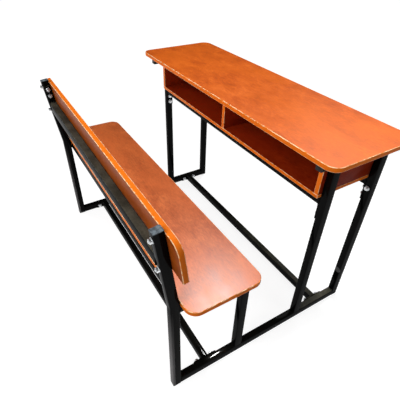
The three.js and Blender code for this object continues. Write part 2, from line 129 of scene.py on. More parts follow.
def black_enamel():
    """Gloss enamel sprayed on mild steel: deep black with an orange-peel skin, greyed by dust and a
    painted sheen on what faces up, by a painted reflection low on the rear of the uprights and by
    one grey blotch. Its index is far below a real enamel's, because the white floor, seen in it at a
    flat angle, would turn the tubes grey."""
    material, tree, shader = new_material(
        "black_gloss_enamel_sprayed", IOR=1.02, Coat_Weight=0.08, Coat_Roughness=0.05)
    link = tree.links.new
    place = add_node(tree, "ShaderNodeTexCoord").outputs["Object"]
    spot = add_node(tree, "ShaderNodeSeparateXYZ", {"Vector": place}).outputs
    peel = add_node(tree, "ShaderNodeTexNoise", {
        "Vector": place, "Scale": 1 / (2.6 * MM), "Detail": 2.0})
    cloud = add_node(tree, "ShaderNodeTexNoise", {
        "Vector": place, "Scale": 1 / (70 * MM), "Detail": 5.0})
    speck = add_node(tree, "ShaderNodeTexNoise", {
        "Vector": place, "Scale": 1 / (7 * MM), "Detail": 6.0})
    paint = add_node(tree, "ShaderNodeMix", {
        "Factor": cloud.outputs["Fac"], "A": srgb("#050505"), "B": srgb("#0a0a0a")}, data_type="RGBA")

    # Dust and a painted sheen lie where a face looks up, outside the cleared parts, in clouds and in finer
    # patches
    normal = add_node(tree, "ShaderNodeNewGeometry").outputs["Normal"]
    upward = add_node(tree, "ShaderNodeSeparateXYZ", {"Vector": normal}).outputs["Z"]
    lying = add_node(tree, "ShaderNodeMapRange", {
        "Value": upward, "From Min": 0.55, "From Max": 0.97, "To Min": 0.0, "To Max": 1.0})
    away = add_node(tree, "ShaderNodeMath", {0: spot["Y"], 1: CLEAR_MIDDLE}, operation="SUBTRACT")
    distance = add_node(tree, "ShaderNodeMath", {0: away.outputs[0]}, operation="ABSOLUTE")
    uncleared = add_node(tree, "ShaderNodeMapRange", {
        "Value": distance.outputs[0], "From Min": CLEAR_REACH, "From Max": CLEAR_REACH + CLEAR_FADE,
        "To Min": 0.05, "To Max": 1.0})
    above_clear = add_node(
        tree, "ShaderNodeMath", {0: spot["Z"], 1: CLEAR_HEIGHT}, operation="GREATER_THAN")
    near_right = add_node(tree, "ShaderNodeMapRange", {
        "Value": spot["X"], "From Min": CLEAR_END, "From Max": DUST_AND_SHEEN_END, "To Min": 0.08, "To Max": 1.0})
    kept = add_node(tree, "ShaderNodeMath", {
        0: above_clear.outputs[0], 1: near_right.outputs[0]}, operation="MAXIMUM")
    settled = add_node(tree, "ShaderNodeMapRange", {
        "Value": cloud.outputs["Fac"], "From Min": 0.35, "From Max": 0.65, "To Min": 0.45, "To Max": 1.0})
    patchy = add_node(tree, "ShaderNodeMapRange", {
        "Value": speck.outputs["Fac"], "From Min": 0.3, "From Max": 0.7, "To Min": 0.7, "To Max": 1.0})
    dust_and_sheen = uncleared
    for share in (kept, lying, settled, patchy):
        dust_and_sheen = add_node(tree, "ShaderNodeMath", {
            0: dust_and_sheen.outputs[0], 1: share.outputs[0]}, operation="MULTIPLY")
    # The olive grey mixed in here stands for dust and a painted sheen
    dust_and_sheen_colour = add_node(tree, "ShaderNodeMix", {
        "Factor": dust_and_sheen.outputs[0], "A": paint.outputs["Result"], "B": srgb("#666457")}, data_type="RGBA")

    # A paler grey blotch on the rear of the right front leg
    offset = add_node(tree, "ShaderNodeVectorMath", {0: place, 1: BLOTCH_PLACE}, operation="SUBTRACT")
    within = add_node(
        tree, "ShaderNodeVectorMath", {0: offset.outputs[0], 1: BLOTCH_REACH}, operation="DIVIDE")
    reach = add_node(tree, "ShaderNodeVectorMath", {0: within.outputs[0]}, operation="LENGTH")
    blotch = add_node(tree, "ShaderNodeMapRange", {
        "Value": reach.outputs["Value"], "From Min": 0.8, "From Max": 1.1, "To Min": 0.85, "To Max": 0.0})
    blotched = add_node(tree, "ShaderNodeMix", {
        "Factor": blotch.outputs[0], "A": dust_and_sheen_colour.outputs["Result"], "B": srgb("#626262")}, data_type="RGBA")

    # Painted reflection: a paler grey low on the rear of the uprights
    behind = add_node(tree, "ShaderNodeMath", {0: spot["Y"], 1: REFLECTION_BEHIND}, operation="LESS_THAN")
    low_down = add_node(tree, "ShaderNodeMapRange", {
        "Value": spot["Z"], "From Min": REFLECTION_LOW, "From Max": REFLECTION_HIGH, "To Min": 0.9, "To Max": 0.0})
    painted_reflection = add_node(tree, "ShaderNodeMath", {
        0: behind.outputs[0], 1: low_down.outputs[0]}, operation="MULTIPLY")
    colour = add_node(tree, "ShaderNodeMix", {
        "Factor": painted_reflection.outputs[0], "A": blotched.outputs["Result"], "B": srgb("#737172")},
        data_type="RGBA")

    gloss = add_node(tree, "ShaderNodeMapRange", {
        "Value": cloud.outputs["Fac"], "From Min": 0.3, "From Max": 0.7, "To Min": 0.08, "To Max": 0.2})
    bump = add_node(tree, "ShaderNodeBump", {
        "Height": peel.outputs["Fac"], "Strength": 0.06, "Distance": 0.25 * MM})
    link(colour.outputs["Result"], shader.inputs["Base Color"])
    link(gloss.outputs[0], shader.inputs["Roughness"])
    link(bump.outputs["Normal"], shader.inputs["Normal"])
    return material


def finish_piece(name, bm, material, replaced=()):
    """Turns a bmesh into a piece that rides on the bench and stands for the CAD nodes given."""
    bmesh.ops.recalc_face_normals(bm, faces=bm.faces)
    mesh = bpy.data.meshes.new(name)
    bm.to_mesh(mesh)
    bm.free()
    mesh.shade_smooth()
    mesh.set_sharp_from_angle(angle=SMOOTH_ANGLE)
    mesh.materials.append(material)
    piece = bpy.data.objects.new(name, mesh)
    bpy.context.scene.collection.objects.link(piece)
    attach(piece, "root")
    if replaced:
        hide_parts(*replaced)
    return piece


def merge_into(bm, part):
    mesh = bpy.data.meshes.new("part")
    part.to_mesh(mesh)
    part.free()
    bm.from_mesh(mesh)
    bpy.data.meshes.remove(mesh)


def rounded_face(bm, width, depth, corners, segments=CORNER_SEGMENTS):
    """A flat face about the origin. Its corner radii are given low left, low right, high left
    and high right, where right is +X and high is +Y."""
    verts = bmesh.ops.create_grid(bm, x_segments=1, y_segments=1, size=0.5)["verts"]
    bmesh.ops.scale(bm, verts=verts, vec=(width, depth, 1))
    for vert in list(verts):
        radius = corners[(2 if vert.co.y > 0 else 0) + (1 if vert.co.x > 0 else 0)]
        if radius:
            bmesh.ops.bevel(
                bm, geom=[vert], offset=radius, segments=segments, affect="VERTICES", profile=0.5,
                material=-1)
    return next(iter(bm.faces))


def pull(bm, faces, move=(0, 0, 0), turn=None, centre=(0, 0, 0)):
    """Extrudes faces, turns and moves the new ones, and returns them."""
    made = bmesh.ops.extrude_face_region(bm, geom=faces)["geom"]
    verts = [item for item in made if isinstance(item, bmesh.types.BMVert)]
    if turn:
        bmesh.ops.rotate(bm, verts=verts, cent=centre, matrix=turn)
    bmesh.ops.translate(bm, verts=verts, vec=move)
    return [item for item in made if isinstance(item, bmesh.types.BMFace)]


def tube_ring(bm, width, depth):
    """The cut end of a tube, a ring as wide as its wall, about the origin in XY."""
    face = rounded_face(bm, width, depth, [TUBE_CORNER] * 4)
    bmesh.ops.inset_individual(bm, faces=[face], thickness=TUBE_WALL)
    bmesh.ops.delete(bm, geom=[face], context="FACES")
    return list(bm.faces)


# Cyclic turns that lay something built along Z along the axis named
LAY = {
    "x": Matrix(((0, 0, 1), (1, 0, 0), (0, 1, 0))).to_4x4(),
    "y": Matrix(((0, 1, 0), (0, 0, 1), (1, 0, 0))).to_4x4(),
    "z": Matrix.Identity(4),
}


def straight_tube(bm, axis, low, high):
    """A tube, open at both ends, that fills the box from low to high."""
    size = LAY[axis].inverted() @ (high - low)
    tube = bmesh.new()
    ring = tube_ring(tube, size.x, size.y)
    pull(tube, ring, move=(0, 0, size.z))
    bmesh.ops.translate(tube, verts=tube.verts, vec=(0, 0, -size.z / 2))
    place = Matrix.Translation((low + high) / 2) @ LAY[axis]
    bmesh.ops.transform(tube, verts=tube.verts, matrix=place)
    merge_into(bm, tube)


# The uprights lean back about the middle of their tube at the bend. TILT turns what is drawn on
# a straight tube, at heights measured up from that point, into its leaning place
upright_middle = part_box("left_runner")[0].y - JOINT_GAP - TUBE_DEEP / 2
TILT = Matrix.Translation((0, upright_middle, BEND_HEIGHT)) @ Matrix.Rotation(BACK_LEAN, 4, "X")
upright_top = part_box("left_rear_upright")[1].z
leaning_height = upright_top - BEND_HEIGHT - TUBE_DEEP / 2 * math.sin(BACK_LEAN)
leaning_length = leaning_height / math.cos(BACK_LEAN)


def bent_upright(bm, across):
    """One tube pulled up to the bend, round it in steps and on to its leaning top."""
    beside_bend = BEND_RADIUS * math.tan(BACK_LEAN / 2)
    bend_start = BEND_HEIGHT - beside_bend
    bend_centre = (0, upright_middle - BEND_RADIUS, bend_start)
    step_turn = Matrix.Rotation(BACK_LEAN / BEND_STEPS, 3, "X")
    rise = leaning_length - beside_bend
    ring = tube_ring(bm, TUBE_WIDE, TUBE_DEEP)
    bmesh.ops.translate(bm, verts=bm.verts, vec=(across, upright_middle, 0))
    ring = pull(bm, ring, move=(0, 0, bend_start))
    for _ in range(BEND_STEPS):
        ring = pull(bm, ring, turn=step_turn, centre=bend_centre)
    pull(bm, ring, move=(0, -rise * math.sin(BACK_LEAN), rise * math.cos(BACK_LEAN)))


enamel = black_enamel()
frame_middle = {}
for prefix in SIDES:
    for part, axis in FRAME_TUBES.items():
        bm = bmesh.new()
        straight_tube(bm, axis, *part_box(f"{prefix}_{part}"))
        finish_piece(f"{prefix}_{part}_tube", bm, enamel, [f"{prefix}_{part}"])

    low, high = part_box(f"{prefix}_runner")
    frame_middle[prefix] = (low.x + high.x) / 2
    bm = bmesh.new()
    bent_upright(bm, frame_middle[prefix])
    finish_piece(f"{prefix}_rear_upright_tube", bm, enamel, [f"{prefix}_rear_upright"])

# Weld beads: short fillets laid by hand in the inner corners of each end frame and painted over,
# so they show as a ripple under the gloss. The flush sides of the joints are ground flat.
WELD_RADIUS = 2.1 * MM
WELD_WAIST = 0.84
WELD_BLUNTNESS = 8
WELD_RIPPLE = 2.8 * MM
FEWEST_RIPPLES = 3
RIPPLE_STEPS = 4
WELD_SIDES = 8
WELD_END_MARGIN = 2 * MM
WELD_MERGE = 0.01 * MM


def weld_bead(bm, middle, direction, length):
    """A bead along a direction that narrows to its waist between ripples and closes at its ends."""
    bead = bmesh.new()
    ripples = max(FEWEST_RIPPLES, round(length / WELD_RIPPLE))
    steps = ripples * RIPPLE_STEPS
    previous = bead.verts.new((0, 0, -length / 2))
    edges = []
    for step in range(1, steps + 1):
        share = step / steps
        swell = WELD_WAIST + (1 - WELD_WAIST) * abs(math.sin(share * ripples * math.pi))
        taper = math.sqrt(max(0.0, 1 - (2 * share - 1) ** WELD_BLUNTNESS))
        vert = bead.verts.new((WELD_RADIUS * swell * taper, 0, length * (share - 0.5)))
        edges.append(bead.edges.new((previous, vert)))
        previous = vert
    bmesh.ops.spin(
        bead, geom=list(bead.verts) + edges, angle=2 * math.pi, steps=WELD_SIDES, axis=(0, 0, 1),
        use_merge=True)
    bmesh.ops.remove_doubles(bead, verts=bead.verts, dist=WELD_MERGE)
    turn = Vector((0, 0, 1)).rotation_difference(Vector(direction)).to_matrix().to_4x4()
    bmesh.ops.transform(bead, verts=bead.verts, matrix=Matrix.Translation(middle) @ turn)
    merge_into(bm, bead)


for prefix in SIDES:
    box = {part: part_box(f"{prefix}_{part}") for part in FRAME_TUBES}
    low, high = box["runner"]
    runner_top = high.z
    seat_under = box["seat_bearer"][0].z
    desk_under = box["desk_bearer"][0].z
    seat_rear, seat_front = box["seat_leg"][0].y, box["seat_leg"][1].y
    user_rear, user_front = box["desk_leg_user"][0].y, box["desk_leg_user"][1].y
    front_rear = box["desk_leg_front"][0].y
    corners = [
        (low.y, runner_top), (seat_rear, runner_top), (seat_front, runner_top),
        (user_rear, runner_top), (user_front, runner_top), (front_rear, runner_top),
        (box["seat_bearer"][0].y, seat_under), (seat_rear, seat_under),
        (user_rear, desk_under), (user_front, desk_under), (front_rear, desk_under),
    ]
    bm = bmesh.new()
    for y, z in corners:
        weld_bead(bm, (frame_middle[prefix], y, z), (1, 0, 0), high.x - low.x - WELD_END_MARGIN)
    finish_piece(f"{prefix}_frame_welds", bm, enamel)

# Cross tubes: the same tube with a 3 mm flat plate welded across each end. The plates lie on the
# inner faces of the end frames and take two bolts each, so the bench ships flat.
PLATE_THICKNESS = 3 * MM
PLATE_CORNER = 2 * MM
PLATE_CORNER_SEGMENTS = 2
PLATE_EDGE = 0.5 * MM
PLATE_MARGIN = 1 * MM
RIM_ANGLE = math.radians(60)
plate_outer = -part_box("left_runner")[1].x - JOINT_GAP
plate_inner = plate_outer - PLATE_THICKNESS


def end_plate(bm, side, y, z, tilt):
    """A plate with rounded corners and softened edges, over the ranges y and z."""
    plate = bmesh.new()
    face = rounded_face(plate, y[1] - y[0], z[1] - z[0], [PLATE_CORNER] * 4, PLATE_CORNER_SEGMENTS)
    pull(plate, [face], move=(0, 0, PLATE_THICKNESS))
    rims = [e for e in plate.edges if e.is_manifold and e.calc_face_angle() > RIM_ANGLE]
    bmesh.ops.bevel(
        plate, geom=rims, offset=PLATE_EDGE, segments=2, affect="EDGES", profile=0.5, material=-1)
    bmesh.ops.translate(plate, verts=plate.verts, vec=(0, 0, -PLATE_THICKNESS / 2))
    middle = (side * (plate_outer - PLATE_THICKNESS / 2), (y[0] + y[1]) / 2, (z[0] + z[1]) / 2)
    place = Matrix.Translation(middle) @ LAY["x"]
    bmesh.ops.transform(plate, verts=plate.verts, matrix=tilt @ place)
    merge_into(bm, plate)


def ring_of_beads(bm, x, y, z, open_below):
    """Beads round a cross tube where it meets its end plate."""
    middle_y, middle_z = (y[0] + y[1]) / 2, (z[0] + z[1]) / 2
    weld_bead(bm, (x, middle_y, z[1]), (0, 1, 0), y[1] - y[0] - WELD_END_MARGIN)
    if not open_below:
        weld_bead(bm, (x, middle_y, z[0]), (0, 1, 0), y[1] - y[0] - WELD_END_MARGIN)
    for edge in y:
        weld_bead(bm, (x, edge, middle_z), (0, 0, 1), z[1] - z[0] - WELD_END_MARGIN)


def cross_tube(name, y, z, plate_y, plate_z, on_floor=False, tilt=Matrix.Identity(4)):
    """A level cross tube over the ranges y and z, with its plates and their welds, as one piece."""
    bm = bmesh.new()
    straight_tube(bm, "x", Vector((-plate_inner, y[0], z[0])), Vector((plate_inner, y[1], z[1])))
    for side in SIDES.values():
        end_plate(bm, side, plate_y, plate_z, tilt)
        ring_of_beads(bm, side * plate_inner, y, z, open_below=on_floor)
    finish_piece(f"{name}_tube", bm, enamel, [name])


for name in ("seat_stretcher", "desk_stretcher"):
    low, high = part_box(name)
    middle = (low.y + high.y) / 2
    cross_tube(
        name, (middle - TUBE_WIDE / 2, middle + TUBE_WIDE / 2), (low.z, high.z),
        (low.y, high.y), (low.z + PLATE_MARGIN, high.z - PLATE_MARGIN), on_floor=True)

for name in ("box_rail_user", "box_rail_front"):
    low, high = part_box(name)
    rear = low.y + PLATE_MARGIN
    cross_tube(
        name, (rear, rear + TUBE_WIDE), (high.z - TUBE_DEEP, high.z),
        (low.y, high.y), (low.z, high.z - PLATE_MARGIN))

low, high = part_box("seat_rail_rear")
cross_tube(
    "seat_rail_rear", (low.y, low.y + TUBE_WIDE), (low.z, high.z),
    (low.y + PLATE_MARGIN, high.y), (low.z + PLATE_MARGIN, high.z - PLATE_MARGIN))

low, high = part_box("seat_rail_front")
cross_tube(
    "seat_rail_front", (high.y - TUBE_WIDE, high.y), (low.z, high.z),
    (low.y, high.y - PLATE_MARGIN), (low.z + PLATE_MARGIN, high.z - PLATE_MARGIN))

# Back rail: the tube behind the backrest stands level, and its plates rise along the leaning
# uprights, so the plates are drawn in the uprights' own tilted frame.
BACK_RAIL_DEEP = 28 * MM
BACK_RAIL_TALL = 34 * MM
BACK_RAIL_MIDDLE = 183 * MM
BACK_PLATE_LENGTH = 108 * MM
rail_reach = (BACK_RAIL_DEEP * math.cos(BACK_LEAN) + BACK_RAIL_TALL * math.sin(BACK_LEAN)) / 2
rail = TILT @ Vector((0, TUBE_DEEP / 2 - rail_reach, BACK_RAIL_MIDDLE))
plate_bottom = BACK_RAIL_MIDDLE - BACK_RAIL_TALL / 2
cross_tube(
    "back_rail", (rail.y - BACK_RAIL_DEEP / 2, rail.y + BACK_RAIL_DEEP / 2),
    (rail.z - BACK_RAIL_TALL / 2, rail.z + BACK_RAIL_TALL / 2),
    (JOINT_GAP - TUBE_DEEP / 2, TUBE_DEEP / 2 - JOINT_GAP),
    (plate_bottom, plate_bottom + BACK_PLATE_LENGTH), tilt=TILT)

# Bolts: M8 machine bolts in bright zinc plate. A washer, a hexagon nut and the end of the thread
# show at the end plates and behind the uprights, and a domed head on the front of the backrest.
BOLT_RADIUS = 4 * MM
THREAD_PITCH = 1.25 * MM
THREAD_DEPTH = 0.55 * MM
THREAD_TURNS = 2
NUT_ACROSS = 13 * MM
NUT_SIDES = 6
NUT_HEIGHT = 6.5 * MM
NUT_CHAMFER = 0.7 * MM
WASHER_RADIUS = 8.5 * MM
WASHER_THICKNESS = 1.6 * MM
WASHER_EDGE = 0.3 * MM
DOME_RADIUS = 10 * MM
DOME_HEIGHT = 3 * MM
DOME_STEPS = 6
ROUND_SEGMENTS = 28
ROUND_MERGE = 0.005 * MM


def bright_zinc():
    """Zinc, electroplated and clear passivated: a bright cool metal with fine milky patches."""
    material, tree, shader = new_material("zinc_plate_bright_passivated", Metallic=1.0)
    place = add_node(tree, "ShaderNodeTexCoord").outputs["Object"]
    patch = add_node(tree, "ShaderNodeTexNoise", {
        "Vector": place, "Scale": 1 / (4 * MM), "Detail": 4.0})
    tone = add_node(tree, "ShaderNodeMix", {
        "Factor": patch.outputs["Fac"], "A": srgb("#c4c8cb"), "B": srgb("#f2f4f5")}, data_type="RGBA")
    haze = add_node(tree, "ShaderNodeMapRange", {
        "Value": patch.outputs["Fac"], "From Min": 0.3, "From Max": 0.7, "To Min": 0.3, "To Max": 0.5})
    tree.links.new(tone.outputs["Result"], shader.inputs["Base Color"])
    tree.links.new(haze.outputs[0], shader.inputs["Roughness"])
    return material


def spun(bm, profile):
    """Spins a profile of (radius, height) points about Z into a closed solid."""
    part = bmesh.new()
    verts = [part.verts.new((radius, 0, height)) for radius, height in profile]
    edges = [part.edges.new(pair) for pair in zip(verts, verts[1:])]
    bmesh.ops.spin(
        part, geom=verts + edges, angle=2 * math.pi, steps=ROUND_SEGMENTS, axis=(0, 0, 1),
        use_merge=True)
    bmesh.ops.remove_doubles(part, verts=part.verts, dist=ROUND_MERGE)
    merge_into(bm, part)


def hexagon_nut(bm, base):
    """A nut with its corners chamfered at both ends, standing at the height base."""
    nut = bmesh.new()
    radius = NUT_ACROSS / 2 / math.cos(math.pi / NUT_SIDES)
    bmesh.ops.create_cone(
        nut, cap_ends=True, segments=NUT_SIDES, radius1=radius, radius2=radius, depth=NUT_HEIGHT)
    bmesh.ops.bevel(
        nut, geom=list(nut.verts), offset=NUT_CHAMFER, segments=2, affect="VERTICES", profile=0.5,
        material=-1)
    bmesh.ops.translate(nut, verts=nut.verts, vec=(0, 0, base + NUT_HEIGHT / 2))
    merge_into(bm, nut)


def nut_end(bm, place):
    """Washer, nut and the end of the thread, built up from z = 0 and then moved to place."""
    bolt = bmesh.new()
    washer_top = WASHER_THICKNESS
    spun(bolt, [
        (0, 0), (WASHER_RADIUS, 0), (WASHER_RADIUS, washer_top - WASHER_EDGE),
        (WASHER_RADIUS - WASHER_EDGE, washer_top), (0, washer_top)])
    hexagon_nut(bolt, washer_top)
    start = washer_top + NUT_HEIGHT
    profile = [(0, start - THREAD_PITCH), (BOLT_RADIUS, start - THREAD_PITCH)]
    for turn in range(THREAD_TURNS):
        height = start + turn * THREAD_PITCH
        profile += [(BOLT_RADIUS - THREAD_DEPTH, height), (BOLT_RADIUS, height + THREAD_PITCH / 2)]
    end = start + THREAD_TURNS * THREAD_PITCH
    profile += [
        (BOLT_RADIUS - THREAD_DEPTH, end - THREAD_DEPTH), (BOLT_RADIUS - 2 * THREAD_DEPTH, end),
        (0, end)]
    spun(bolt, profile)
    bmesh.ops.transform(bolt, verts=bolt.verts, matrix=place)
    merge_into(bm, bolt)


def plate_bolt(bm, side, y, z):
    """The nut end of a bolt on the inner face of an end plate."""
    inward = Matrix.Rotation(-side * math.pi / 2, 4, "Y")
    nut_end(bm, Matrix.Translation((side * plate_inner, y, z)) @ inward)


zinc = bright_zinc()
for prefix, side in SIDES.items():
    for rail_name in ("back_rail", "box_rail_user", "seat_stretcher", "desk_stretcher"):
        for number in (1, 2):
            node = f"{prefix}_{rail_name}_bolt_{number}"
            low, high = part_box(node)
            bm = bmesh.new()
            plate_bolt(bm, side, (low.y + high.y) / 2, (low.z + high.z) / 2)
            finish_piece(f"{node}_zinc", bm, zinc, [node])

PLATE_BOLT_INSET = 15 * MM
RAIL_BOLT_SPACING = 28 * MM
bolt_places = [PLATE_BOLT_INSET, PLATE_BOLT_INSET + RAIL_BOLT_SPACING]

low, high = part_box("box_rail_front")
bm = bmesh.new()
for side in SIDES.values():
    for from_end in bolt_places:
        plate_bolt(bm, side, (low.y + high.y) / 2, low.z + from_end)
finish_piece("box_rail_front_bolts", bm, zinc, ["box_rail_front"])

for name, way in (("seat_rail_rear", 1), ("seat_rail_front", -1)):
    low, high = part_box(name)
    plate_end = high.y if way > 0 else low.y
    bm = bmesh.new()
    for side in SIDES.values():
        for from_end in bolt_places:
            plate_bolt(bm, side, plate_end - way * from_end, (low.z + high.z) / 2)
    finish_piece(f"{name}_bolts", bm, zinc, [name])

# One more bolt goes through each front leg towards the sitter and holds the box's front rail
LEG_BOLT_HEIGHT = 556 * MM
REARWARD = Matrix.Rotation(math.pi / 2, 4, "X")
for prefix in SIDES:
    leg_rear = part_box(f"{prefix}_desk_leg_front")[0].y
    bm = bmesh.new()
    nut_end(bm, Matrix.Translation((frame_middle[prefix], leg_rear, LEG_BOLT_HEIGHT)) @ REARWARD)
    finish_piece(f"{prefix}_front_leg_bolt", bm, zinc)

# Two bolts hold the backrest to each upright, their domed heads against the front of the board
BOARD_THICKNESS = 16 * MM
BACKREST_BOTTOM = 154 * MM
BACKREST_HEIGHT = 132 * MM
BACKREST_BOLT_INSET = 15 * MM
bolt_heights = {
    1: BACKREST_BOTTOM + BACKREST_BOLT_INSET,
    2: BACKREST_BOTTOM + BACKREST_HEIGHT - BACKREST_BOLT_INSET,
}
board_front = TUBE_DEEP / 2 + JOINT_GAP + BOARD_THICKNESS
dome = [(0, -BOARD_THICKNESS), (BOLT_RADIUS, -BOARD_THICKNESS), (BOLT_RADIUS, 0)]
for step in range(DOME_STEPS):
    angle = step / DOME_STEPS * math.pi / 2
    dome.append((DOME_RADIUS * math.cos(angle), DOME_HEIGHT * math.sin(angle)))
dome.append((0, DOME_HEIGHT))
for prefix in SIDES:
    for number, height in bolt_heights.items():
        bm = bmesh.new()
        behind = Matrix.Translation((frame_middle[prefix], -TUBE_DEEP / 2, height))
        nut_end(bm, TILT @ behind @ REARWARD)
        head = bmesh.new()
        spun(head, dome)
        ahead = Matrix.Translation((frame_middle[prefix], board_front, height))
        bmesh.ops.transform(head, verts=head.verts, matrix=TILT @ ahead @ REARWARD.inverted())
        merge_into(bm, head)
        node = f"{prefix}_backrest_bolt_{number}"
        finish_piece(f"{node}_zinc", bm, zinc, [node])

# Desktop, seat and backrest: 16 mm melamine-faced chipboard in an orange-brown cherry print, with
# round corners, and a 2 mm PVC band glued round the edge. The band's arrises are trimmed round,
# and drawn about twice as coarse as that leaves them, so that the pale line on them shows: partly
# the trimmer's whitening, partly a painted highlight.
BOARD_CORNER = 37 * MM
BOARD_CORNER_SEGMENTS = 12
BACKREST_LOW_CORNER = 5 * MM
BAND = 2 * MM
BAND_ROUND = 1.6 * MM
GLUE_LINE = 0.075 * MM
LEVEL_WITHIN = 0.03 * MM
# A face counts as turned one way when its normal is past HALF_WAY, and as slanting beyond FLAT_SLANT
HALF_WAY = 0.5
FLAT_SLANT = 0.02


def printed_melamine(name, dark, mid, light, tint, specular, index=1.5):
    """Printed paper pressed under melamine: a satin sheet with soft clouds, a drift of tint and
    short fibres along X. The fibres are drawn about 6 mm wide, much coarser than a print's own, so
    that they show. The darker prints get a low index, so that the floor doesn't veil them."""
    material, tree, shader = new_material(name, Specular_IOR_Level=specular, IOR=index)
    link = tree.links.new
    place = add_node(tree, "ShaderNodeTexCoord").outputs["Object"]
    along = add_node(tree, "ShaderNodeMapping", {"Vector": place, "Scale": (0.6, 1.0, 1.0)})
    cloud = add_node(tree, "ShaderNodeTexNoise", {
        "Vector": along.outputs[0], "Scale": 1 / (48 * MM), "Detail": 7.0, "Roughness": 0.66})
    fibres = add_node(tree, "ShaderNodeMapping", {"Vector": place, "Scale": (0.35, 1.0, 1.0)})
    fibre = add_node(tree, "ShaderNodeTexNoise", {
        "Vector": fibres.outputs[0], "Scale": 1 / (6 * MM), "Detail": 6.0, "Roughness": 0.75})
    mix = add_node(tree, "ShaderNodeMix", {
        "Factor": 0.5, "A": cloud.outputs["Fac"], "B": fibre.outputs["Fac"]}, data_type="FLOAT")
    ramp = add_node(tree, "ShaderNodeValToRGB", {"Fac": mix.outputs["Result"]})
    stops = ramp.color_ramp.elements
    stops[0].position, stops[0].color = 0.34, srgb(dark)
    stops[1].position, stops[1].color = 0.65, srgb(light)
    middle_stop = stops.new(0.5)
    middle_stop.color = srgb(mid)
    drift = add_node(tree, "ShaderNodeTexNoise", {
        "Vector": along.outputs[0], "Scale": 1 / (120 * MM), "Detail": 3.0, "Distortion": 0.5})
    share = add_node(tree, "ShaderNodeMapRange", {
        "Value": drift.outputs["Fac"], "From Min": 0.35, "From Max": 0.65, "To Min": 0.0, "To Max": 0.55})
    colour = add_node(tree, "ShaderNodeMix", {
        "Factor": share.outputs[0], "A": ramp.outputs["Color"], "B": srgb(tint)}, data_type="RGBA")
    haze = add_node(tree, "ShaderNodeMapRange", {
        "Value": cloud.outputs["Fac"], "From Min": 0.3, "From Max": 0.7, "To Min": 0.3, "To Max": 0.37})
    bump = add_node(tree, "ShaderNodeBump", {
        "Height": fibre.outputs["Fac"], "Strength": 0.04, "Distance": 0.2 * MM})
    link(colour.outputs["Result"], shader.inputs["Base Color"])
    link(haze.outputs[0], shader.inputs["Roughness"])
    link(bump.outputs["Normal"], shader.inputs["Normal"])
    return material


def orange_band():
    """Extruded PVC edge band, buffed: an even orange with a soft shine. Its index is low, like the
    darker prints', so that the floor doesn't veil it."""
    material, tree, shader = new_material("pvc_edge_band_orange", Specular_IOR_Level=1.0, IOR=1.07)
    place = add_node(tree, "ShaderNodeTexCoord").outputs["Object"]
    drift = add_node(tree, "ShaderNodeTexNoise", {
        "Vector": place, "Scale": 1 / (40 * MM), "Detail": 3.0})
    tone = add_node(tree, "ShaderNodeMix", {
        "Factor": drift.outputs["Fac"], "A": srgb("#e36d14"), "B": srgb("#ee7a20")}, data_type="RGBA")
    blotch = add_node(tree, "ShaderNodeTexNoise", {
        "Vector": place, "Scale": 1 / (2 * MM), "Detail": 5.0})
    haze = add_node(tree, "ShaderNodeMapRange", {
        "Value": blotch.outputs["Fac"], "From Min": 0.3, "From Max": 0.7, "To Min": 0.28, "To Max": 0.42})
    tree.links.new(tone.outputs["Result"], shader.inputs["Base Color"])
    tree.links.new(haze.outputs[0], shader.inputs["Roughness"])
    return material


def arris_painted_highlight():
    """The band's arris: a pale line, partly the trimmer's whitening and partly a painted highlight, broken
    into short marks.
    The marks are drawn 14 mm apart, far coarser than the real ones, so that they show."""
    material, tree, shader = new_material("pvc_arris_scraped_painted_highlight", IOR=1.15, Roughness=0.3)
    place = add_node(tree, "ShaderNodeTexCoord").outputs["Object"]
    dotting = add_node(tree, "ShaderNodeTexNoise", {
        "Vector": place, "Scale": 1 / (14 * MM), "Detail": 3.0})
    marks = add_node(tree, "ShaderNodeMapRange", {
        "Value": dotting.outputs["Fac"], "From Min": 0.38, "From Max": 0.55, "To Min": 0.0, "To Max": 1.0})
    tone = add_node(tree, "ShaderNodeMix", {
        "Factor": marks.outputs[0], "A": srgb("#f08a35"), "B": srgb("#ffdcae")}, data_type="RGBA")
    tree.links.new(tone.outputs["Result"], shader.inputs["Base Color"])
    return material


cherry = printed_melamine(
    "melamine_cherry_print_pressed",
    dark="#ab4a12", mid="#cc590d", light="#e8711a", tint="#e06a12", specular=0.38)
# A darker copy of the cherry print for the backrest's rear face: painted shade
cherry_painted_shade = printed_melamine(
    "melamine_cherry_painted_shade",
    dark="#74300c", mid="#8c3f10", light="#a45014", tint="#97460f", specular=0.5, index=1.12)
# A paler, pinker copy of the cherry print for the seat: painted sheen of the light on it
cherry_painted_sheen = printed_melamine(
    "melamine_cherry_print_painted_sheen",
    dark="#a54e28", mid="#c86532", light="#e47c3e", tint="#dc6f35", specular=0.35)
band = orange_band()
arris = arris_painted_highlight()


def board_core(size, corners):
    """The chipboard inside the band."""
    inner = [max(0.0, radius - BAND) for radius in corners]
    core = bmesh.new()
    face = rounded_face(core, size.x - 2 * BAND, size.y - 2 * BAND, inner, BOARD_CORNER_SEGMENTS)
    pull(core, [face], move=(0, 0, size.z))
    return core


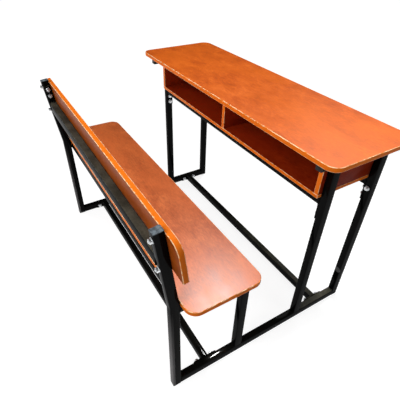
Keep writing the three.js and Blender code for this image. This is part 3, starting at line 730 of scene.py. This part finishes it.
def board_band(size, corners):
    """The band round a board, with its outer arrises rounded and given the second material."""
    strip = bmesh.new()
    face = rounded_face(strip, size.x, size.y, corners, BOARD_CORNER_SEGMENTS)
    bmesh.ops.inset_individual(strip, faces=[face], thickness=BAND - GLUE_LINE)
    bmesh.ops.delete(strip, geom=[face], context="FACES")
    pull(strip, list(strip.faces), move=(0, 0, size.z))
    bmesh.ops.recalc_face_normals(strip, faces=strip.faces)
    outer = {
        f for f in strip.faces
        if abs(f.normal.z) < HALF_WAY and f.normal.dot(f.calc_center_median()) > 0}
    arrises = [
        e for e in strip.edges
        if e.is_manifold and abs(e.verts[0].co.z - e.verts[1].co.z) < LEVEL_WITHIN
        and not outer.isdisjoint(e.link_faces)]
    bmesh.ops.bevel(
        strip, geom=arrises, offset=BAND_ROUND, segments=3, affect="EDGES", profile=0.5, material=-1)
    # The rounded arrises take the second material, whose pale line is partly a painted highlight
    for face in strip.faces:
        face.normal_update()
        face.material_index = int(FLAT_SLANT < abs(face.normal.z) < 1 - FLAT_SLANT)
    return strip


def banded_board(name, size, corners, place, print_sheet, shade_sheet=None):
    """A board built about the origin in XY and its band; place turns both into position."""
    core, strip = board_core(size, corners), board_band(size, corners)
    for bm in (core, strip):
        bmesh.ops.translate(bm, verts=bm.verts, vec=(0, 0, -size.z / 2))
        bmesh.ops.transform(bm, verts=bm.verts, matrix=place)
    # Faces turned back (-Y) take the darker copy of the print, painted shade
    if shade_sheet:
        for face in core.faces:
            face.normal_update()
            face.material_index = int(face.normal.y < -HALF_WAY)
    board = finish_piece(f"{name}_board", core, print_sheet, [name])
    if shade_sheet:
        board.data.materials.append(shade_sheet)
    edge = finish_piece(f"{name}_edging_board", strip, band, [f"{name}_edging"])
    edge.data.materials.append(arris)


for name, print_sheet in (("desktop", cherry), ("seat_board", cherry_painted_sheen)):
    low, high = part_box(f"{name}_edging")
    place = Matrix.Translation((low + high) / 2)
    banded_board(name, high - low, [BOARD_CORNER] * 4, place, print_sheet)

low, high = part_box("backrest_board_edging")
middle = Vector((0, board_front - BOARD_THICKNESS / 2, BACKREST_BOTTOM + BACKREST_HEIGHT / 2))
banded_board(
    "backrest_board", Vector((high.x - low.x, BACKREST_HEIGHT, BOARD_THICKNESS)),
    [BACKREST_LOW_CORNER] * 2 + [BOARD_CORNER] * 2,
    TILT @ Matrix.Translation(middle) @ REARWARD, cherry, cherry_painted_shade)

# Book box: chipboard in a dark mahogany print, doweled and glued under the desktop and open
# towards the sitter. Its front edges and the ends of its floor carry the orange band. The arrises
# are drawn rounder than real ones, so that they catch the light at this size.
BOX_EDGE = 0.9 * MM
END_BAND = 2 * MM


def soft_block(low, high):
    """A panel with its arrises rounded."""
    bm = bmesh.new()
    bmesh.ops.create_cube(bm, size=1)
    bmesh.ops.scale(bm, verts=bm.verts, vec=high - low)
    bmesh.ops.bevel(
        bm, geom=bm.edges, offset=BOX_EDGE, segments=2, affect="EDGES", profile=0.5, material=-1)
    bmesh.ops.translate(bm, verts=bm.verts, vec=(low + high) / 2)
    return bm


def banded_block(name, low, high, replaced):
    """A straight piece of band, its arrises pale like the boards': scraped whitening and a painted
    highlight.
    """
    bm = soft_block(low, high)
    # The rounded arrises take the pale arris material, partly a painted highlight
    for face in bm.faces:
        face.normal_update()
        face.material_index = int(max(abs(part) for part in face.normal) < 1 - FLAT_SLANT)
    piece = finish_piece(name, bm, band, replaced)
    piece.data.materials.append(arris)


mahogany = printed_melamine(
    "melamine_mahogany_print_pressed",
    dark="#661806", mid="#842609", light="#9a340e", tint="#8a2408", specular=0.5, index=1.08)
for name in ("box_floor", "left_box_side", "right_box_side", "box_divider", "box_back"):
    low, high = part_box(name)
    if name == "box_floor":
        low.x += END_BAND
        high.x -= END_BAND
    finish_piece(f"{name}_panel", soft_block(low, high), mahogany, [name])
    if name != "box_back":
        banded_block(f"{name}_edging_strip", *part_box(f"{name}_edging"), [f"{name}_edging"])
low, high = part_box("box_floor")
for prefix, side in SIDES.items():
    ends = sorted((side * high.x, side * (high.x - END_BAND)))
    banded_block(
        f"{prefix}_box_floor_end_strip", Vector((ends[0], low.y, low.z)),
        Vector((ends[1], high.y, high.z)), ["box_floor"])

# End caps: injection-moulded polyethylene plugs in blue-grey, tapped into the open tube ends at
# the top of the uprights and at the sitter's end of the desk bearers.
CAP_THICKNESS = 2.5 * MM
CAP_ROUND = 1.2 * MM


def grey_polyethylene():
    """Moulded polyethylene: a dull blue-grey with a fine grain, and a painted highlight, paler in
    patches, on the faces that look up."""
    material, tree, shader = new_material("polyethylene_blue_grey_moulded", IOR=1.25, Roughness=0.5)
    place = add_node(tree, "ShaderNodeTexCoord").outputs["Object"]
    grain = add_node(tree, "ShaderNodeTexNoise", {
        "Vector": place, "Scale": 1 / (0.8 * MM), "Detail": 3.0})
    tone = add_node(tree, "ShaderNodeMix", {
        "Factor": grain.outputs["Fac"], "A": srgb("#16191c"), "B": srgb("#272b2f")}, data_type="RGBA")
    normal = add_node(tree, "ShaderNodeNewGeometry").outputs["Normal"]
    upward = add_node(tree, "ShaderNodeSeparateXYZ", {"Vector": normal}).outputs["Z"]
    facing_up = add_node(tree, "ShaderNodeMapRange", {
        "Value": upward, "From Min": 0.5, "From Max": 0.9, "To Min": 0.0, "To Max": 0.9})
    sheen_patches = add_node(tree, "ShaderNodeTexNoise", {
        "Vector": place, "Scale": 1 / (9 * MM), "Detail": 4.0})
    spread = add_node(tree, "ShaderNodeMapRange", {
        "Value": sheen_patches.outputs["Fac"], "From Min": 0.4, "From Max": 0.6, "To Min": 0.35, "To Max": 1.0})
    # The paler blue-grey on the faces that look up is a painted highlight
    dust_and_sheen = add_node(tree, "ShaderNodeMath", {
        0: facing_up.outputs[0], 1: spread.outputs[0]}, operation="MULTIPLY")
    colour = add_node(tree, "ShaderNodeMix", {
        "Factor": dust_and_sheen.outputs[0], "A": tone.outputs["Result"], "B": srgb("#6d777e")}, data_type="RGBA")
    bump = add_node(tree, "ShaderNodeBump", {
        "Height": grain.outputs["Fac"], "Strength": 0.15, "Distance": 0.1 * MM})
    tree.links.new(colour.outputs["Result"], shader.inputs["Base Color"])
    tree.links.new(bump.outputs["Normal"], shader.inputs["Normal"])
    return material


polyethylene = grey_polyethylene()


def end_cap(name, place):
    """A cap with a rounded rim, standing on the plane z = 0 of its tube's end."""
    bm = bmesh.new()
    face = rounded_face(bm, TUBE_WIDE, TUBE_DEEP, [TUBE_CORNER] * 4)
    top = pull(bm, [face], move=(0, 0, CAP_THICKNESS))
    rim = [e for f in top for e in f.edges]
    bmesh.ops.bevel(
        bm, geom=rim, offset=CAP_ROUND, segments=3, affect="EDGES", profile=0.5, material=-1)
    bmesh.ops.transform(bm, verts=bm.verts, matrix=place)
    finish_piece(f"{name}_plug", bm, polyethylene, [name])


for prefix in SIDES:
    top = Matrix.Translation((frame_middle[prefix], 0, leaning_length))
    end_cap(f"{prefix}_upright_cap", TILT @ top)
    low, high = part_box(f"{prefix}_desk_bearer")
    bearer_end = Matrix.Translation((frame_middle[prefix], low.y, (low.z + high.z) / 2))
    end_cap(f"{prefix}_bearer_cap", bearer_end @ REARWARD)

# Floor, light and camera: a plain pale floor under soft studio light, seen from where the
# photograph was taken. The floor glows for the camera and in gloss, near white round the bench
# and white beyond, so it lights nothing else and the bench's shadow still shows on it.
FLOOR_HALF = 15.0
GLOW_NEAR = 0.84
GLOW_FAR = 1.0
GLOW_START = 1.0
GLOW_END = 3.0
floor_bm = bmesh.new()
bmesh.ops.create_grid(floor_bm, x_segments=1, y_segments=1, size=FLOOR_HALF)
floor_mesh = bpy.data.meshes.new("studio_floor")
floor_bm.to_mesh(floor_mesh)
floor_bm.free()
floor = bpy.data.objects.new("studio_floor", floor_mesh)
bpy.context.scene.collection.objects.link(floor)
floor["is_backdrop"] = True

floor_material, tree, shader = new_material("pale_floor", Roughness=0.9, Specular_IOR_Level=0.1)
shader.inputs["Base Color"].default_value = srgb("#a0a0a0")
shader.inputs["Emission Color"].default_value = (1, 1, 1, 1)
rays = add_node(tree, "ShaderNodeLightPath").outputs
seen = add_node(tree, "ShaderNodeMath", {
    0: rays["Is Camera Ray"], 1: rays["Is Glossy Ray"]}, operation="MAXIMUM")
shown = add_node(tree, "ShaderNodeMath", {
    0: seen.outputs[0], 1: rays["Is Transmission Ray"]}, operation="MAXIMUM")
place = add_node(tree, "ShaderNodeTexCoord").outputs["Object"]
away = add_node(tree, "ShaderNodeVectorMath", {0: place}, operation="LENGTH")
spread = add_node(tree, "ShaderNodeMapRange", {
    "Value": away.outputs["Value"], "From Min": GLOW_START, "From Max": GLOW_END,
    "To Min": GLOW_NEAR, "To Max": GLOW_FAR}, interpolation_type="SMOOTHSTEP")
glow = add_node(tree, "ShaderNodeMath", {
    0: shown.outputs[0], 1: spread.outputs[0]}, operation="MULTIPLY")
tree.links.new(glow.outputs[0], shader.inputs["Emission Strength"])
floor_mesh.materials.append(floor_material)

# The room is dim near the ground and a little brighter overhead; the camera sees it white
HORIZON_LIGHT = 0.02
OVERHEAD_LIGHT = 0.04
HORIZON_TOP = 0.32
OVERHEAD_START = 0.5
world = bpy.data.worlds.new("studio")
bpy.context.scene.world = world
world.use_nodes = True
tree = world.node_tree
background = tree.nodes["Background"]
background.inputs["Color"].default_value = (1, 1, 1, 1)
heading = add_node(tree, "ShaderNodeTexCoord").outputs["Generated"]
height = add_node(tree, "ShaderNodeSeparateXYZ", {"Vector": heading}).outputs["Z"]
room = add_node(tree, "ShaderNodeMapRange", {
    "Value": height, "From Min": HORIZON_TOP, "From Max": OVERHEAD_START,
    "To Min": HORIZON_LIGHT, "To Max": OVERHEAD_LIGHT})
rays = add_node(tree, "ShaderNodeLightPath").outputs
seen = add_node(tree, "ShaderNodeMath", {
    0: rays["Is Camera Ray"], 1: rays["Is Transmission Ray"]}, operation="MAXIMUM")
level = add_node(tree, "ShaderNodeMath", {
    0: room.outputs[0], 1: seen.outputs[0]}, operation="MAXIMUM")
tree.links.new(level.outputs[0], background.inputs["Strength"])


def soft_lamp(name, place, aim, size, power, spread=180):
    """A lamp of size (across, along) metres that fans its light out over spread degrees."""
    lamp = bpy.data.lights.new(name, "AREA")
    lamp.shape = "RECTANGLE"
    lamp.size, lamp.size_y = size
    lamp.energy = power
    lamp.spread = math.radians(spread)
    holder = bpy.data.objects.new(name, lamp)
    bpy.context.scene.collection.objects.link(holder)
    holder.location = place
    holder.visible_camera = False
    holder.rotation_euler = (Vector(aim) - Vector(place)).to_track_quat("-Z", "Y").to_euler()


# The narrow strip makes the glare on the near runner and on the seat's near end, and the desk
# spot pales the desktop's near end. The four large lamps fill in from the front, the sitter's
# side, the left and the right
soft_lamp("strip_window", (-0.81, 0.82, 3.0), (1.2, -0.4, 0.0), (0.12, 0.28), 20, 100)
soft_lamp("front_window", (-0.95, 2.7, 3.1), (0.6, 0.2, 0.5), (1.6, 1.6), 17)
soft_lamp("sitter_softbox", (0.6, -2.2, 1.9), (0.1, 0.2, 0.5), (1.6, 1.6), 46)
soft_lamp("left_softbox", (-3.6, -2.6, 1.4), (0.0, -0.3, 0.5), (1.4, 1.4), 55)
soft_lamp("side_softbox", (2.8, 0.6, 1.5), (0.4, 0.0, 0.5), (1.2, 1.2), 12)
soft_lamp("desk_spot", (0.6, 0.5, 2.8), (0.78, 0.4, 0.76), (0.3, 0.3), 1.0, 34)

# The camera as it was fitted to the edges in the photograph, its focal length in pixels
CAMERA_PLACE = (1.0935, -0.6484, 1.2706)
CAMERA_AZIMUTH = math.radians(57.8)
CAMERA_ELEVATION = math.radians(37.6)
CAMERA_ROLL = math.radians(1.6)
FOCAL_PIXELS = 367.4
PICTURE_PIXELS = 400
camera_data = bpy.data.cameras.new("camera")
camera = bpy.data.objects.new("camera", camera_data)
bpy.context.scene.collection.objects.link(camera)
camera_data.sensor_width = 36
camera_data.lens = camera_data.sensor_width * FOCAL_PIXELS / PICTURE_PIXELS
aim = Matrix.Rotation(CAMERA_AZIMUTH, 4, "Z") @ Matrix.Rotation(math.pi / 2 - CAMERA_ELEVATION, 4, "X")
camera.matrix_world = Matrix.Translation(CAMERA_PLACE) @ aim @ Matrix.Rotation(CAMERA_ROLL, 4, "Z")
bpy.context.scene.camera = camera
bpy.context.scene.view_settings.view_transform = "Standard"

low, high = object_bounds()
